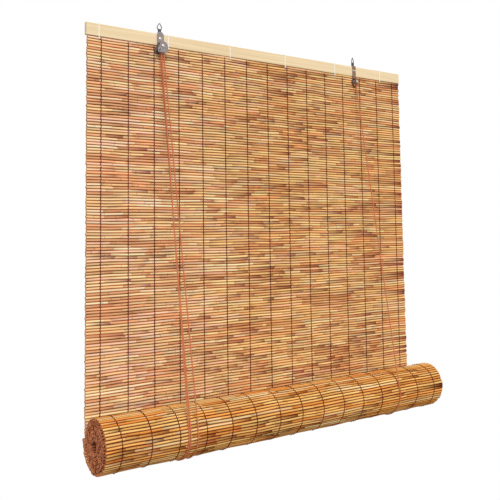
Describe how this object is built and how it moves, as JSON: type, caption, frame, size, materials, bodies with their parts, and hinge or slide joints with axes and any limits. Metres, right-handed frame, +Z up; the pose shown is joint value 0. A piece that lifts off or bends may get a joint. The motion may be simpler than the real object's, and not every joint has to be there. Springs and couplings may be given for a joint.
{
  "type": "roll-up reed blind",
  "caption": "Reed blind rolled up in front of its own mat, with a bamboo head rail, lift cords slung under the roll, and pulley blocks with hanging loops.",
  "frame": {"origin": "middle of the head rail's back face", "axes": "+Z up, +X to the right seen from the front, +Y to the back, towards the wall or window"},
  "size_m": [0.816, 0.104, 0.8007],
  "materials": {
    "rail_bamboo": "satin",
    "mat_reed": "satin",
    "roll_reed": "satin",
    "twine": "matte",
    "tie_thread": "matte",
    "sheet_steel": "satin",
    "dark_steel": "satin",
    "bright_steel": "gloss",
    "loop_wire": "gloss",
    "sheave": "matte",
    "cord": "matte"
  },
  "bodies": {
    "hanging_part": {"head_rail": "rail_bamboo", "rail_ties": "tie_thread", "reed_mat": "mat_reed", "mat_twines": "twine", "left_frame": "sheet_steel", "left_axle": "bright_steel", "left_screw": "bright_steel", "right_frame": "sheet_steel", "right_axle": "bright_steel", "right_screws": "bright_steel", "left_cord_bight": "cord", "tail_cord_bight": "cord", "right_cord_bight": "cord", "left_cord_front": "cord", "tail_cord_front": "cord", "right_cord_front": "cord", "left_cord_rear": "cord", "tail_cord_rear": "cord", "right_cord_rear": "cord", "cord_knots": "cord"},
    "cord_slings": {"left_cord_slings": "cord", "tail_cord_sling": "cord", "right_cord_sling": "cord"},
    "roll": {"reed_roll": "roll_reed", "roll_twines": "twine", "bottom_rod": "rail_bamboo"},
    "left_loop": {"left_swivel": "dark_steel", "left_hanging_loop": "loop_wire"},
    "right_loop": {"right_swivel": "dark_steel", "right_hanging_loop": "loop_wire"},
    "left_front_wheel": {"left_front_sheave": "sheave"},
    "left_rear_wheel": {"left_rear_sheave": "sheave"},
    "right_wheel": {"right_sheave": "sheave"},
    "cord_lock": {"lock_roller": "dark_steel"}
  },
  "joints": [
    {"name": "roll_lift", "type": "slide", "parent": "hanging_part", "child": "cord_slings", "axis": [0, 0, 1], "range_m": [0, 0.566], "deforming": ["reed_mat", "mat_twines", "left_cord_front", "tail_cord_front", "right_cord_front", "left_cord_rear", "tail_cord_rear", "right_cord_rear"]},
    {"name": "roll_turn", "type": "hinge", "parent": "cord_slings", "child": "roll", "pos_m": [0, -0.0491, -0.71675], "axis": [1, 0, 0], "range_deg": [-719.2, 0]},
    {"name": "left_front_sheave_turn", "type": "hinge", "parent": "hanging_part", "child": "left_front_wheel", "pos_m": [-0.2515, -0.0176, -0.0145], "axis": [0, 1, 0], "range_deg": [-16214.8, 0]},
    {"name": "left_rear_sheave_turn", "type": "hinge", "parent": "hanging_part", "child": "left_rear_wheel", "pos_m": [-0.2515, -0.012, -0.0145], "axis": [0, 1, 0], "range_deg": [-16214.8, 0]},
    {"name": "right_sheave_turn", "type": "hinge", "parent": "hanging_part", "child": "right_wheel", "pos_m": [0.2515, -0.013, -0.025], "axis": [0, 1, 0], "range_deg": [-16214.8, 0]},
    {"name": "lock_release", "type": "slide", "parent": "hanging_part", "child": "cord_lock", "axis": [-0.6018, 0, -0.7986], "range_m": [0, 0.003]},
    {"name": "left_swivel_turn", "type": "hinge", "parent": "hanging_part", "child": "left_loop", "pos_m": [-0.2515, -0.0046, 0.018], "axis": [0, 0, 1], "continuous": true},
    {"name": "right_swivel_turn", "type": "hinge", "parent": "hanging_part", "child": "right_loop", "pos_m": [0.2515, -0.0046, 0.018], "axis": [0, 0, 1], "continuous": true}
  ],
  "couplings": [
    {"joint": "roll_turn", "follows": "roll_lift", "rad_per_m": -22.173},
    {"joint": "left_front_sheave_turn", "follows": "roll_lift", "rad_per_m": -500},
    {"joint": "left_rear_sheave_turn", "follows": "roll_lift", "rad_per_m": -500},
    {"joint": "right_sheave_turn", "follows": "roll_lift", "rad_per_m": -500}
  ]
}
